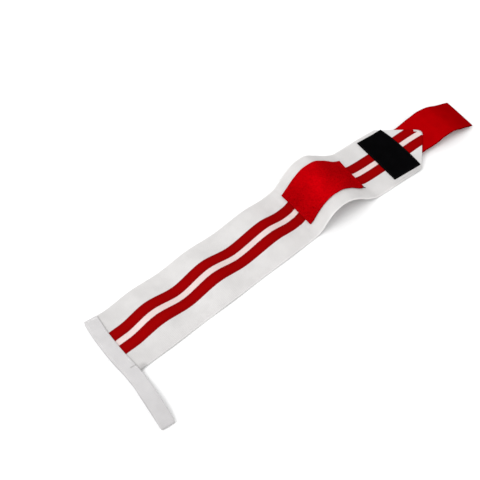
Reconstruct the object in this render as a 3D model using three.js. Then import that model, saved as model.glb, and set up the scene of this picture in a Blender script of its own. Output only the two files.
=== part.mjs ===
// A lifter's wrist wrap that lies on a table: a long striped elastic band with a pointed end, a thumb loop
// at its square end, a plush patch on its arched stretch, a woven label, and a hook tab under the point.
// Millimetres, +Z up. +X runs from the loop end to the tab end, +Y across to the far edge.
// The origin is at the bottom centre of the whole part.
import * as THREE from "three";
import { mergeVertices } from "three/addons/utils/BufferGeometryUtils.js";

// Layers
const SEAM_GAP = 0.3; // air between two layers that are sewn together
const BAND_THICK = 2.1;
const TAPE_THICK = 1.3;
const PATCH_THICK = 2;
const LABEL_THICK = 0.8;
const TAB_THICK = 1.5;

// Band. Its stations are counted along X from the inner edge of the tape that is sewn over its end.
const BAND_START = -13.5;
const SHOULDER = 370; // where the point starts
const TIP = 405;
const TIP_HALF = 1.5; // the very tip is blunt
const NEAR_SLANT = 0.9; // length of the point's near cut for each millimetre across, where the far one has 1

// Pieces sewn on the band, by their corners: station along and place across, in the order near start,
// near end, far start, far end. The patch is pulled out of square by the arch.
const PATCH = [[227.6, -23.3], [301, -21.4], [230.4, 23.4], [305.4, 23.2]];
const LABEL = [[340.3, -31], [375, -32.7], [341, 32.6], [375.4, 30.8]];
const TAB = [[372, -21.9], [464.4, -21.9], [372, 23.3], [464.4, 21.9]];
const TAPE_HALF = 7;

// How the wrap lies in plan: sway of its middle line, turn of that line in degrees, and half width
const PLAN = [
  { along: -15, sway: -0.9, turn: 0, half: 36.3 },
  { along: 205, sway: -0.7, turn: 0, half: 36.6 },
  { along: 235, sway: -0.3, turn: 0, half: 36.9 },
  { along: 265, sway: -1.1, turn: -1.8, half: 36.7 },
  { along: 300, sway: -5.7, turn: -4.8, half: 36.7 },
  { along: 325, sway: -7.6, turn: -5.9, half: 37.1 },
  { along: 345, sway: -8.8, turn: -6.3, half: 37.2 },
  { along: 378, sway: -12, turn: -4.9, half: 36.6 },
  { along: 400, sway: -14.5, turn: -3.5, half: 36.6 },
  { along: 466, sway: -23.1, turn: -10, half: 36.6 },
];

// How high the underside of the band lies at its near edge, middle and far edge. Past the tip the same
// surface goes on over the hook tab.
const SEWN = TAPE_THICK + SEAM_GAP;
const RISE = [
  { along: -15, near: SEWN, middle: SEWN, far: SEWN }, // end between the tape's two legs
  { along: 0, near: SEWN, middle: SEWN, far: SEWN },
  { along: 9, near: 0.3, middle: 1.6, far: 0.5 },
  { along: 39.5, near: 0.5, middle: 8.6, far: 2.5 }, // first ripple
  { along: 74, near: 0, middle: 1, far: 0.2 },
  { along: 109.5, near: 0.5, middle: 9.2, far: 2.5 }, // second ripple
  { along: 145.5, near: 0, middle: 0.9, far: 0.2 },
  { along: 186.5, near: 0.5, middle: 6.2, far: 2.5 }, // third ripple
  { along: 214, near: 0, middle: 0.6, far: 0 },
  { along: 221, near: 0, middle: 0.7, far: 0 }, // foot of the arch
  { along: 231, near: 4.3, middle: 5.2, far: 0.9 },
  { along: 238, near: 12.9, middle: 12.1, far: 7 },
  { along: 247, near: 20.9, middle: 20.7, far: 17.1 },
  { along: 258, near: 23.7, middle: 26.4, far: 24 }, // top of the arch
  { along: 268, near: 22.3, middle: 25.8, far: 25 },
  { along: 282, near: 16.5, middle: 18.7, far: 17.3 },
  { along: 298, near: 6.2, middle: 6.4, far: 6.4 },
  { along: 312, near: 0.3, middle: 0.7, far: 0.3 },
  { along: 324, near: 0, middle: 0, far: 0 }, // flat stretch that it rests on
  { along: 345, near: 0, middle: 0, far: 0 },
  { along: 360, near: 0.5, middle: 1.2, far: 0 },
  { along: 374, near: 1.9, middle: 4.9, far: 0 }, // the hook tab starts under it
  { along: 390, near: 5.3, middle: 7.1, far: 3.1 },
  { along: 407, near: 9, middle: 8.6, far: 14.1 },
  { along: 418, near: 11.8, middle: 13.2, far: 16.1 },
  { along: 430, near: 12.6, middle: 14.6, far: 13.8 }, // crest of the tab
  { along: 446, near: 9.7, middle: 9.6, far: 7.7 },
  { along: 466, near: 3.6, middle: 3.2, far: 1.8 },
];

// Where the tape's middle line runs, from the far edge to the end of the loop
const TAPE_LINE = [
  { across: -97, along: -18.5 },
  { across: -81, along: -16.2 },
  { across: -60, along: -13.3 },
  { across: -44, along: -11.3 },
  { across: -32, along: -10.9 },
  { across: -16, along: -11.3 },
  { across: 10, along: -10.2 },
  { across: 36, along: -6.9 },
];

// Middle of the tape's thickness, from the far edge over the band's end, out round the loop and back under
const TAPE_TOP = SEWN + BAND_THICK + SEAM_GAP + TAPE_THICK / 2;
const TAPE_FLOOR = TAPE_THICK / 2;
const LOOP = [
  { across: 35.6, height: TAPE_TOP },
  { across: 12, height: TAPE_TOP },
  { across: -12, height: TAPE_TOP },
  { across: -34, height: TAPE_TOP },
  { across: -42, height: TAPE_TOP },
  { across: -50, height: 5.1 },
  { across: -60, height: 6.7 },
  { across: -70, height: 7.4 }, // the loop stands open here
  { across: -80, height: 7 },
  { across: -88, height: 5.4 },
  { across: -93.5, height: 3.7 },
  { across: -95.9, height: 2.3 }, // fold at the loop's end
  { across: -94, height: 1 },
  { across: -90, height: TAPE_FLOOR },
  { across: -70, height: TAPE_FLOOR },
  { across: -42, height: TAPE_FLOOR },
  { across: -34, height: TAPE_FLOOR },
  { across: -12, height: TAPE_FLOOR },
  { across: 12, height: TAPE_FLOOR },
  { across: 35.6, height: TAPE_FLOOR },
];

const { lerp, degToRad } = THREE.MathUtils;

// A smooth curve through two columns of a table, with no overshoot past its rows
function curveThrough(rows, key, column) {
  const steepness = (a, b) => (b[column] - a[column]) / (b[key] - a[key]);
  const slopes = rows.map((row, i) => {
    const before = i > 0 ? steepness(rows[i - 1], row) : steepness(row, rows[i + 1]);
    const after = i < rows.length - 1 ? steepness(row, rows[i + 1]) : before;
    return before * after > 0 ? (2 * before * after) / (before + after) : 0;
  });
  return (place) => {
    const next = rows.findIndex((row) => row[key] > place);
    const i = (next < 0 ? rows.length - 1 : Math.max(next, 1)) - 1;
    const span = rows[i + 1][key] - rows[i][key];
    const t = (place - rows[i][key]) / span;
    const value = lerp(rows[i][column], rows[i + 1][column], t * t * (3 - 2 * t));
    return value + span * t * (1 - t) * (slopes[i] * (1 - t) - slopes[i + 1] * t);
  };
}

const swayAt = curveThrough(PLAN, "along", "sway");
const turnAt = curveThrough(PLAN, "along", "turn");
const halfAt = curveThrough(PLAN, "along", "half");
const nearAt = curveThrough(RISE, "along", "near");
const middleAt = curveThrough(RISE, "along", "middle");
const farAt = curveThrough(RISE, "along", "far");
const tapeAt = curveThrough(TAPE_LINE, "across", "along");

// A point of the band's underside: each cross-section is a parabola through its three heights
function underside(along, across) {
  const turn = degToRad(turnAt(along));
  const side = across / halfAt(along);
  const near = nearAt(along);
  const middle = middleAt(along);
  const far = farAt(along);
  const height = middle + ((far - near) / 2) * side + ((far + near) / 2 - middle) * side * side;
  return new THREE.Vector3(
    along - across * Math.sin(turn),
    swayAt(along) + across * Math.cos(turn),
    height,
  );
}

// A point that lies a given lift above the band's underside, square to the cloth
const PROBE = 0.5; // how far to each side a slope is measured
function onWrap(along, across, lift) {
  const onwards = underside(along + PROBE, across).sub(underside(along - PROBE, across));
  const sideways = underside(along, across + PROBE).sub(underside(along, across - PROBE));
  const normal = onwards.cross(sideways).normalize();
  return underside(along, across).addScaledVector(normal, lift);
}

// A closed cloth wall: a box of many segments whose points place() lays in the air, from
// length 0 to 1, width -1 to 1 and depth 0 to 1
function cloth(stepsLong, stepsWide, place) {
  const box = new THREE.BoxGeometry(1, 2, 1, stepsLong, stepsWide, 1);
  box.translate(0.5, 0, 0.5);
  box.deleteAttribute("normal");
  box.deleteAttribute("uv");
  const geometry = mergeVertices(box);
  const points = geometry.getAttribute("position");
  for (let i = 0; i < points.count; i++) {
    const spot = place(points.getX(i), points.getY(i), points.getZ(i));
    points.setXYZ(i, spot.x, spot.y, spot.z);
  }
  geometry.clearGroups();
  geometry.computeVertexNormals();
  return geometry;
}

// A piece of cloth on the band between four corners, from one lift to another
function sewnPiece(corners, stepsLong, stepsWide, lift, thick) {
  const [nearStart, nearEnd, farStart, farEnd] = corners.map((corner) => new THREE.Vector2(...corner));
  return cloth(stepsLong, stepsWide, (length, width, depth) => {
    const near = nearStart.clone().lerp(nearEnd, length);
    const far = farStart.clone().lerp(farEnd, length);
    const spot = near.lerp(far, (width + 1) / 2);
    return onWrap(spot.x, spot.y, lift + depth * thick);
  });
}

// The band: straight sides as far as the shoulder, then a point of about a right angle
function bandGeometry() {
  const straightSteps = 96;
  const pointSteps = 10;
  const wideSteps = 8;
  const steps = straightSteps + pointSteps;
  return cloth(steps, wideSteps, (length, width, depth) => {
    const step = Math.round(length * steps);
    const along =
      step <= straightSteps
        ? lerp(BAND_START, SHOULDER, step / straightSteps)
        : lerp(SHOULDER, TIP, (step - straightSteps) / pointSteps);
    const slant = width < 0 ? NEAR_SLANT : 1;
    const half = Math.min(halfAt(along), TIP_HALF + (TIP - along) / slant);
    return onWrap(along, width * half, depth * BAND_THICK);
  });
}

// The tape: a flat strip that follows its path in the upright plane, and keeps its width level
function tapeGeometry() {
  const path = new THREE.CatmullRomCurve3(
    LOOP.map((row) => new THREE.Vector3(tapeAt(row.across), row.across, row.height)),
  );
  const stepsEachRow = 5;
  const wideSteps = 2;
  return cloth((LOOP.length - 1) * stepsEachRow, wideSteps, (length, width, depth) => {
    const spot = path.getPoint(length);
    spot.z = Math.max(spot.z, TAPE_FLOOR);
    const lean = (tapeAt(spot.y + PROBE) - tapeAt(spot.y - PROBE)) / (2 * PROBE);
    const level = new THREE.Vector3(1, -lean, 0).normalize();
    const outwards = path.getTangent(length).cross(level).normalize();
    return spot
      .addScaledVector(level, width * TAPE_HALF)
      .addScaledVector(outwards, (depth - 0.5) * TAPE_THICK);
  });
}

function piece(name, geometry, color, roughness) {
  const material = new THREE.MeshStandardMaterial({ color, roughness, metalness: 0 });
  const mesh = new THREE.Mesh(geometry, material);
  mesh.name = name;
  return mesh;
}

const wrap = new THREE.Group();
wrap.add(
  piece("wrap_band", bandGeometry(), 0xe4e2e0, 0.85),
  piece("thumb_loop", tapeGeometry(), 0xdad9d9, 0.85),
  piece("closure_patch", sewnPiece(PATCH, 20, 6, BAND_THICK + SEAM_GAP, PATCH_THICK), 0xc8000f, 0.95),
  piece("end_label", sewnPiece(LABEL, 9, 6, BAND_THICK + SEAM_GAP, LABEL_THICK), 0x0a0a0a, 0.7),
  piece("hook_tab", sewnPiece(TAB, 24, 4, -SEAM_GAP - TAB_THICK, TAB_THICK), 0xb40008, 0.7),
);

// The origin goes to the bottom centre of the whole part
const box = new THREE.Box3().setFromObject(wrap);
const centre = box.getCenter(new THREE.Vector3());
wrap.position.set(-centre.x, -centre.y, -box.min.z);

const part = new THREE.Group();
part.add(wrap);

export default part;
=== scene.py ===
# %% [markdown]
# # A wrist wrap, sewn in Blender
#
# A lifter's wrist wrap is a band of woven elastic with a thumb loop at one end and a hook-and-loop
# fastening at the other. Here it lies loose on a table, with three shallow ripples and one arch.
# The solids that fix its size and place come first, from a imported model, and every cloth below is
# made in the same frame, in metres, so that nothing has to be fitted by eye.

# %% Load the fixed frame
import math

import bmesh
import bpy
import numpy as np
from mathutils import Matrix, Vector


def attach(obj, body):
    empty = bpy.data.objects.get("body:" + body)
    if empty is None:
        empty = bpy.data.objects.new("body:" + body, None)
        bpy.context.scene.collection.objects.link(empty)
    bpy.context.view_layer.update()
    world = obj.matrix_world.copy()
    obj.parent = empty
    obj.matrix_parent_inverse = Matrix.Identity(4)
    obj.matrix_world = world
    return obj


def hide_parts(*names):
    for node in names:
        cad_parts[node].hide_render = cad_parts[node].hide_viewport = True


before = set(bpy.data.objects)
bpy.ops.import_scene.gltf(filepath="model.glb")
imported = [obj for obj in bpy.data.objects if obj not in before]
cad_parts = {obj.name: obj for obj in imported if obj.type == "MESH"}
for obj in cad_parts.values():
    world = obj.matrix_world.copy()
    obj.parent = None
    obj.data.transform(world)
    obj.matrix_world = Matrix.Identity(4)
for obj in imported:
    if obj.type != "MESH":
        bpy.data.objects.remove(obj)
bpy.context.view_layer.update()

scene = bpy.context.scene
MM = 0.001


def put(name, data):
    """A new object in the scene, at the origin."""
    thing = bpy.data.objects.new(name, data)
    scene.collection.objects.link(thing)
    return thing


# %% [markdown]
# ## Camera
#
# The wrap was seen from above its loop end with a long lens, about 84 cm away. A camera is placed by
# two points: where its eye is and what it looks at. `to_track_quat` turns the line between them into
# a rotation, with the camera's own -Z as its line of sight.

# %% Camera
EYE = Vector((-0.3864, -0.3246, 0.6844))
LOOKED_AT = Vector((-0.0594, 0.0430, 0.0))
SENSOR_MM = 36
LENS_MM = 62.25

line_of_sight = LOOKED_AT - EYE
camera_data = bpy.data.cameras.new("camera")
camera_data.sensor_width = SENSOR_MM
camera_data.lens = LENS_MM
camera = put("camera", camera_data)
camera.location = EYE
camera.rotation_euler = line_of_sight.to_track_quat("-Z", "Y").to_euler()
scene.camera = camera
print("camera is", round(line_of_sight.length, 3), "m from what it looks at")

# %% [markdown]
# ## Light and table
#
# White cloth on a white table shows its shape only by soft shade. Most of the light is an even pale
# sky, which fills the shadows. One broad lamp stands high up, past the loop end of the wrap. It gives
# each ripple a bright and a dim side and lays soft shadows towards the tab end. The table is only just
# bright enough to look white, because a brighter one would swallow the faintest shadows. The plain
# "Standard" view keeps deep reds deep.

# %% Light
SKY_STRENGTH = 1.1
LAMP_PLACE = Vector((-1.1, 0.1, 1.3))
LAMP_SIZE = 1.0
LAMP_WATTS = 12.0

scene.view_settings.view_transform = "Standard"
scene.view_settings.look = "None"

sky = bpy.data.worlds.new("sky")
sky.use_nodes = True
sky_light = sky.node_tree.nodes["Background"]
sky_light.inputs["Color"].default_value = (1.0, 1.0, 1.0, 1.0)
sky_light.inputs["Strength"].default_value = SKY_STRENGTH
scene.world = sky

lamp_data = bpy.data.lights.new("broad_lamp", "AREA")
lamp_data.shape = "DISK"
lamp_data.size = LAMP_SIZE
lamp_data.energy = LAMP_WATTS
lamp = put("broad_lamp", lamp_data)
lamp.location = LAMP_PLACE
lamp.rotation_euler = (-LAMP_PLACE).to_track_quat("-Z", "Y").to_euler()
print("lamp stands", round(LAMP_PLACE.length, 2), "m from the wrap")

# %% Table
TABLE_HALF = 4.0
TABLE_DROP = 0.0001  # a hair below the cloth, so that no two faces share a place
TABLE_TONE = 0.86
TABLE_ROUGHNESS = 0.9


def new_finish(name, roughness, specular=0.0):
    """A material with the values that are the same all over, its tree and its shader."""
    material = bpy.data.materials.new(name)
    material.use_nodes = True
    shader = material.node_tree.nodes["Principled BSDF"]
    shader.inputs["Roughness"].default_value = roughness
    shader.inputs["Specular IOR Level"].default_value = specular
    return material, material.node_tree, shader


table_finish, _, table_shader = new_finish("pale_table", TABLE_ROUGHNESS)
table_shader.inputs["Base Color"].default_value = (TABLE_TONE, TABLE_TONE, TABLE_TONE, 1.0)
table_corners = [(-1, -1), (1, -1), (1, 1), (-1, 1)]
table_points = [(x * TABLE_HALF, y * TABLE_HALF, -TABLE_DROP) for x, y in table_corners]
table_mesh = bpy.data.meshes.new("table")
table_mesh.from_pydata(table_points, [], [(0, 1, 2, 3)])
table_mesh.materials.append(table_finish)
table = put("table", table_mesh)
print("table is", 2 * TABLE_HALF, "m wide")

# %% [markdown]
# ## How the cloth lies
#
# All the cloths share one surface. Two small tables describe it, in millimetres: how the band's middle
# line runs in plan, and how high its underside lies at the near edge, the middle and the far edge.
# Stations count along the band from the inner edge of the hem. Between the rows runs a cubic curve
# that never overshoots, so a flat stretch between two equal rows stays flat on the table. Past the
# band's tip the same surface goes on over the hook tab.

# %% Tables of the lie
SEAM_GAP = 0.3
BAND_THICK = 2.1
TAPE_THICK = 1.3
SEWN = TAPE_THICK + SEAM_GAP
ROOT = np.array([-221.347, 30.316, 0.0])  # where station 0 of the middle line lies in the part's frame

# along, sway of the middle line, its turn in degrees, half width
PLAN = [
    (-15, -0.9, 0, 36.3),
    (205, -0.7, 0, 36.6),
    (235, -0.3, 0, 36.9),
    (265, -1.1, -1.8, 36.7),
    (300, -5.7, -4.8, 36.7),
    (325, -7.6, -5.9, 37.1),
    (345, -8.8, -6.3, 37.2),
    (378, -12, -4.9, 36.6),
    (400, -14.5, -3.5, 36.6),
    (466, -23.1, -10, 36.6),
]
# along, height of the underside at the near edge, the middle and the far edge
RISE = [
    (-15, SEWN, SEWN, SEWN),  # end between the tape's two legs
    (0, SEWN, SEWN, SEWN),
    (9, 0.3, 1.6, 0.5),
    (39.5, 0.5, 8.6, 2.5),  # first ripple
    (74, 0, 1, 0.2),
    (109.5, 0.5, 9.2, 2.5),  # second ripple
    (145.5, 0, 0.9, 0.2),
    (186.5, 0.5, 6.2, 2.5),  # third ripple
    (214, 0, 0.6, 0),
    (221, 0, 0.7, 0),  # foot of the arch
    (231, 4.3, 5.2, 0.9),
    (238, 12.9, 12.1, 7),
    (247, 20.9, 20.7, 17.1),
    (258, 23.7, 26.4, 24),  # top of the arch
    (268, 22.3, 25.8, 25),
    (282, 16.5, 18.7, 17.3),
    (298, 6.2, 6.4, 6.4),
    (312, 0.3, 0.7, 0.3),
    (324, 0, 0, 0),  # flat stretch that it rests on
    (345, 0, 0, 0),
    (360, 0.5, 1.2, 0),
    (374, 1.9, 4.9, 0),  # the hook tab starts under it
    (390, 5.3, 7.1, 3.1),
    (407, 9, 8.6, 14.1),
    (418, 11.8, 13.2, 16.1),
    (430, 12.6, 14.6, 13.8),  # crest of the tab
    (446, 9.7, 9.6, 7.7),
    (466, 3.6, 3.2, 1.8),
]
print("plan has", len(PLAN), "rows and rise", len(RISE))


# %% Curves through the tables
def curve_through(rows, column):
    """A smooth curve through the first column of a table and another, with no overshoot."""
    places = np.array([row[0] for row in rows], float)
    values = np.array([row[column] for row in rows], float)
    steep = np.diff(values) / np.diff(places)
    before = np.concatenate([steep[:1], steep])
    after = np.concatenate([steep, steep[-1:]])
    same_way = before * after > 0
    slopes = np.where(same_way, 2 * before * after / np.where(same_way, before + after, 1), 0)

    def curve(place):
        place = np.asarray(place, float)
        i = np.clip(np.searchsorted(places, place, side="right") - 1, 0, len(places) - 2)
        span = places[i + 1] - places[i]
        t = (place - places[i]) / span
        value = values[i] + (values[i + 1] - values[i]) * t * t * (3 - 2 * t)
        return value + span * t * (1 - t) * (slopes[i] * (1 - t) - slopes[i + 1] * t)

    return curve


sway_at, turn_at, half_at = (curve_through(PLAN, column) for column in (1, 2, 3))
near_at, middle_at, far_at = (curve_through(RISE, column) for column in (1, 2, 3))
print("arch is", round(float(middle_at(np.linspace(230, 310, 400)).max()), 1), "mm high")

# %% [markdown]
# ## One surface for every cloth
#
# `on_wrap` takes a station along the band, a distance across it and a lift, and gives the point in the
# part's frame. The lift is measured square to the cloth, by the cross product of two short steps on
# the surface, so that a patch keeps its thickness where the band climbs the arch. `reach_at` is the
# length of cloth from the hem to a station, which the weave follows.

# %% Surface
PROBE = 0.5  # length of a short step to each side


def underside(along, across):
    """Points of the band's underside: each cross-section is a parabola through its three heights."""
    turn = np.radians(turn_at(along))
    side = across / half_at(along)
    near, middle, far = near_at(along), middle_at(along), far_at(along)
    height = middle + (far - near) / 2 * side + ((far + near) / 2 - middle) * side**2
    return np.stack([along - across * np.sin(turn), sway_at(along) + across * np.cos(turn), height], -1)


def wrap_up(along, across):
    """The direction square to the cloth, away from its underside."""
    onwards = underside(along + PROBE, across) - underside(along - PROBE, across)
    sideways = underside(along, across + PROBE) - underside(along, across - PROBE)
    up = np.cross(onwards, sideways)
    return up / np.linalg.norm(up, axis=-1, keepdims=True)


def on_wrap(along, across, lift):
    """Points that lie a lift above the band's underside, in metres in the part's frame."""
    along, across, lift = np.broadcast_arrays(*(np.asarray(x, float) for x in (along, across, lift)))
    return (underside(along, across) + wrap_up(along, across) * lift[..., None] + ROOT) * MM


RULER = np.linspace(-20, 470, 2000)  # stations between which the cloth is measured
ruler_steps = np.linalg.norm(np.diff(underside(RULER, 0 * RULER), axis=0), axis=1)
RULER_READS = np.concatenate([[0], np.cumsum(ruler_steps)])


def reach_at(along):
    """Length of cloth along the middle line, in millimetres."""
    return np.interp(along, RULER, RULER_READS) - np.interp(0, RULER, RULER_READS)


print("cloth from the hem to station 400:", round(float(reach_at(400)), 1), "mm")

# %% [markdown]
# ## Cuts of the sewn pieces
#
# Patch, label and tab are cut straight, and the lie of the band pulls them a little out of square. So each
# is given by four corners on the band. `flat_size` measures the cloth between them. The finishes need
# that as well as the meshes, because they darken a rim along the edges of these pieces.

# %% Cuts
# corners as station along and place across: near start, near end, far start, far end
PATCH = [(227.6, -23.3), (301, -21.4), (230.4, 23.4), (305.4, 23.2)]
LABEL = [(340.3, -31), (375, -32.7), (341, 32.6), (375.4, 30.8)]
TAB = [(372, -21.9), (464.4, -21.9), (372, 23.3), (464.4, 21.9)]


def flat_size(corners):
    """Length of a piece's flat cloth along the band, and half its width."""
    near_start, near_end, far_start, far_end = corners
    near_length = reach_at(near_end[0]) - reach_at(near_start[0])
    far_length = reach_at(far_end[0]) - reach_at(far_start[0])
    half_width = (far_start[1] - near_start[1] + far_end[1] - near_end[1]) / 4
    return float(near_length + far_length) / 2, half_width


def flat_cut(corners):
    """Width and length of a sewn piece before it was sewn on, in metres."""
    long, half = flat_size(corners)
    return round(2 * half * MM, 4), round(long * MM, 4)


for cut_name, cut in (("patch", PATCH), ("label", LABEL), ("tab", TAB)):
    print(cut_name, "is cut", flat_cut(cut), "m wide and long")

# %% [markdown]
# ## A cloth with soft edges
#
# Every cloth here is a closed shell: a top, an underside, and edges that are round, as a woven edge is.
# Blender's Solidify would give square walls, so the shell is written directly. One ring of points runs
# round the cross-section, and the rings follow each other along the cloth. At both ends the rings
# close up in three steps, which rounds the cut ends too. Each point also keeps its place on the flat
# cloth as UV, in metres, so that weave and stripes follow the cloth over every bend.

# %% Closed pieces
MERGE_WITHIN = 2e-6
SLIVER = 1e-7


def closed_piece(name, mesh):
    """Merge the points that meet, turn the faces out, shade smooth and put the piece in the scene."""
    shell = bmesh.new()
    shell.from_mesh(mesh)
    bmesh.ops.remove_doubles(shell, verts=shell.verts, dist=MERGE_WITHIN)
    bmesh.ops.dissolve_degenerate(shell, edges=shell.edges, dist=SLIVER)
    bmesh.ops.recalc_face_normals(shell, faces=shell.faces)
    open_edges = sum(1 for edge in shell.edges if len(edge.link_faces) != 2)
    for face in shell.faces:
        face.smooth = True
    shell.to_mesh(mesh)
    shell.free()
    print(name, "has", len(mesh.polygons), "faces and", open_edges, "open edges")
    return put(name, mesh)


# %% Cloth shell
END_TURNS = np.radians([90, 60, 30])
EDGE_TURNS = np.radians([-60, -30, 0, 30, 60])
LEAST_HALF = 0.02


def section(wide):
    """Once round a cross-section: share of the flat width, share of the edge's round, share of thickness."""
    flat = np.linspace(-1, 1, wide + 1)
    level = np.zeros(wide + 1)
    edge = np.ones(len(EDGE_TURNS))
    climb = 0.5 * np.sin(EDGE_TURNS)
    shares = np.concatenate([flat, edge, flat[::-1], -edge])
    rounds = np.concatenate([level, np.cos(EDGE_TURNS), level, -np.cos(EDGE_TURNS)])
    rises = np.concatenate([level, 0.5 + climb, level + 1, 0.5 - climb])
    return shares, rounds, rises


def ring_faces(rings, size):
    """Faces between closed rings of points that follow each other."""
    starts = np.arange(rings - 1)[:, None] * size
    first = starts + np.arange(size)
    after = starts + (np.arange(size) + 1) % size
    return np.stack([first, after, after + size, first + size], -1).reshape(-1, 4)


def cloth_shell(name, start, end, step, half_of, thick, wide, place, reach=lambda along: along):
    """A closed cloth from one station to another. place(along, across, rise) lays its points."""
    edge = thick / 2
    first_end = start + edge * (1 - np.sin(END_TURNS))
    inner = np.linspace(start + edge, end - edge, max(2, round((end - start) / step)))
    last_end = end - edge * (1 - np.sin(END_TURNS[::-1]))
    along = np.concatenate([first_end, inner, last_end])[:, None]
    full = np.concatenate([np.cos(END_TURNS), np.ones(len(inner)), np.cos(END_TURNS[::-1])])[:, None]
    shares, rounds, rises = section(wide)
    half = np.maximum(half_of(along, shares) - edge, LEAST_HALF)
    across = half * shares + edge * full * rounds
    rise = 0.5 + (rises - 0.5) * full
    points = place(along + 0 * across, across, rise).reshape(-1, 3)
    spots = np.stack([reach(along) + 0 * across, across], -1).reshape(-1, 2) * MM

    mesh = bpy.data.meshes.new(name)
    mesh.from_pydata(points.tolist(), [], ring_faces(*across.shape).tolist())
    uv = mesh.uv_layers.new(name="cloth")
    corner_points = np.zeros(len(mesh.loops), np.int32)
    mesh.loops.foreach_get("vertex_index", corner_points)
    uv.data.foreach_set("uv", spots[corner_points].astype(np.float32).ravel())
    return closed_piece(name, mesh)


def even(half):
    """The same half width all along a cloth and on both its sides."""
    return lambda along, side: 0 * along + half


print("a ring of 40 steps has", len(section(40)[0]), "points")

# %% [markdown]
# ## Shared effects: ribs, mottling, stripes and darker rims
#
# Four small shader groups are used by the finishes. `woven_ribs` raises lengthwise cords with a weft that
# crosses them in turn. `mottle` makes slow light and dark patches, as on handled cloth. `stripe_pair`
# tells which part of the width is dyed, and `dark_rim` darkens the rim of a piece. A group only puts out
# values that change over the cloth. Numbers that are the same all over are set on the shader itself.

# %% Node helpers
FLOAT = "NodeSocketFloat"


def tree_of(*terms):
    """The node tree of the first socket among the terms."""
    return next(term.id_data for term in terms if isinstance(term, bpy.types.NodeSocket))


def feed(socket, value):
    """Link a socket to another, or set its value."""
    if isinstance(value, bpy.types.NodeSocket):
        tree_of(socket).links.new(value, socket)
    else:
        socket.default_value = value


def add_node(tree, kind, inputs=None, **settings):
    """A node with its settings, and then its inputs by name or number."""
    node = tree.nodes.new(kind)
    for setting, value in settings.items():
        setattr(node, setting, value)
    for socket, value in (inputs or {}).items():
        feed(node.inputs[socket], value)
    return node


def sums(operation, *terms):
    """One Math node, fed by sockets or numbers."""
    node = add_node(tree_of(*terms), "ShaderNodeMath", dict(enumerate(terms)), operation=operation)
    return node.outputs[0]


def product(*terms):
    """All the terms multiplied."""
    total = terms[0]
    for term in terms[1:]:
        total = sums("MULTIPLY", total, term)
    return total


def between(value, low, high, to_low=0.0, to_high=1.0):
    """A smooth step from one value to another."""
    terms = {"Value": value, "From Min": low, "From Max": high, "To Min": to_low, "To Max": to_high}
    node = add_node(tree_of(value), "ShaderNodeMapRange", terms, interpolation_type="SMOOTHSTEP")
    return node.outputs["Result"]


def noise(cloth, scale, detail=2.0):
    """Noise over the cloth."""
    terms = {"Vector": cloth, "Scale": scale, "Detail": detail}
    return add_node(tree_of(cloth), "ShaderNodeTexNoise", terms).outputs["Fac"]


def length_and_width(cloth):
    """Place along the cloth and place across it."""
    node = add_node(tree_of(cloth), "ShaderNodeSeparateXYZ", {0: cloth})
    return node.outputs["X"], node.outputs["Y"]


def by_title(values):
    """Values under the titles of their sockets, from argument names in small letters."""
    return {name.replace("_", " ").capitalize(): value for name, value in values.items()}


def with_ends(tree):
    """A tree, the sockets that bring its inputs in and the sockets that take its outputs out."""
    return tree, add_node(tree, "NodeGroupInput").outputs, add_node(tree, "NodeGroupOutput").inputs


def number_inputs(tree, inputs):
    """Give a tree an input for each title, with a number to start from."""
    for title, default in inputs.items():
        tree.interface.new_socket(title, in_out="INPUT", socket_type=FLOAT).default_value = default


def shader_group(name, inputs, outputs, on_cloth=True):
    """An empty shader group with titled sockets, most often also the place on the cloth, and its two ends."""
    group = bpy.data.node_groups.new(name, "ShaderNodeTree")
    if on_cloth:
        group.interface.new_socket("Cloth", in_out="INPUT", socket_type="NodeSocketVector")
    number_inputs(group, inputs)
    for title in outputs:
        group.interface.new_socket(title, in_out="OUTPUT", socket_type=FLOAT)
    return with_ends(group)


def tell(tree):
    print(tree.name, "has", len(tree.nodes), "nodes")


# %% Woven ribs
CORD_ROUND = 0.6

ribs_inputs = {"Rib pitch": 0.0011, "Weft pitch": 0.0009, "Weft depth": 0.4}
ribs, ribs_in, ribs_out = shader_group("woven_ribs", ribs_inputs, ["Height"])
rib_along, rib_across = length_and_width(ribs_in["Cloth"])
cord_count = sums("DIVIDE", rib_across, ribs_in["Rib pitch"])
cord_wave = sums("ABSOLUTE", sums("SINE", product(cord_count, math.pi)))
every_other = product(sums("FLOOR", cord_count), 0.5)
weft_count = sums("DIVIDE", rib_along, ribs_in["Weft pitch"])
weft_turn = product(sums("ADD", weft_count, every_other), math.pi)
weft_wave = sums("ABSOLUTE", sums("SINE", weft_turn))
weft_dip = product(sums("SUBTRACT", 1.0, weft_wave), ribs_in["Weft depth"])
cords = sums("POWER", cord_wave, CORD_ROUND)
rib_height = product(cords, sums("SUBTRACT", 1.0, weft_dip))
feed(ribs_out["Height"], rib_height)
tell(ribs)

# %% Mottling
NOISE_RANGE = (0.3, 0.7)  # most of a noise's values lie between these
MOTTLE_DETAIL = 3.0

mottle_inputs = {"Patch size": 0.012, "Contrast": 0.1}
mottle, mottle_in, mottle_out = shader_group("mottle", mottle_inputs, ["Tone"])
mottle_scale = sums("DIVIDE", 1.0, mottle_in["Patch size"])
mottle_noise = noise(mottle_in["Cloth"], mottle_scale, MOTTLE_DETAIL)
mottle_dark = sums("SUBTRACT", 1.0, mottle_in["Contrast"])
mottle_light = sums("ADD", 1.0, mottle_in["Contrast"])
mottle_tone = between(mottle_noise, *NOISE_RANGE, mottle_dark, mottle_light)
feed(mottle_out["Tone"], mottle_tone)
tell(mottle)

# %% Stripe pair
STRIPE_CENTRE = -0.001
STRIPE_INNER = 0.003
STRIPE_OUTER = 0.0144
STRIPE_SOFT = 0.0003
STRIPE_CORE = (STRIPE_INNER + STRIPE_OUTER) / 2
CORE_FADE = (0.0015, 0.005)

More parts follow.
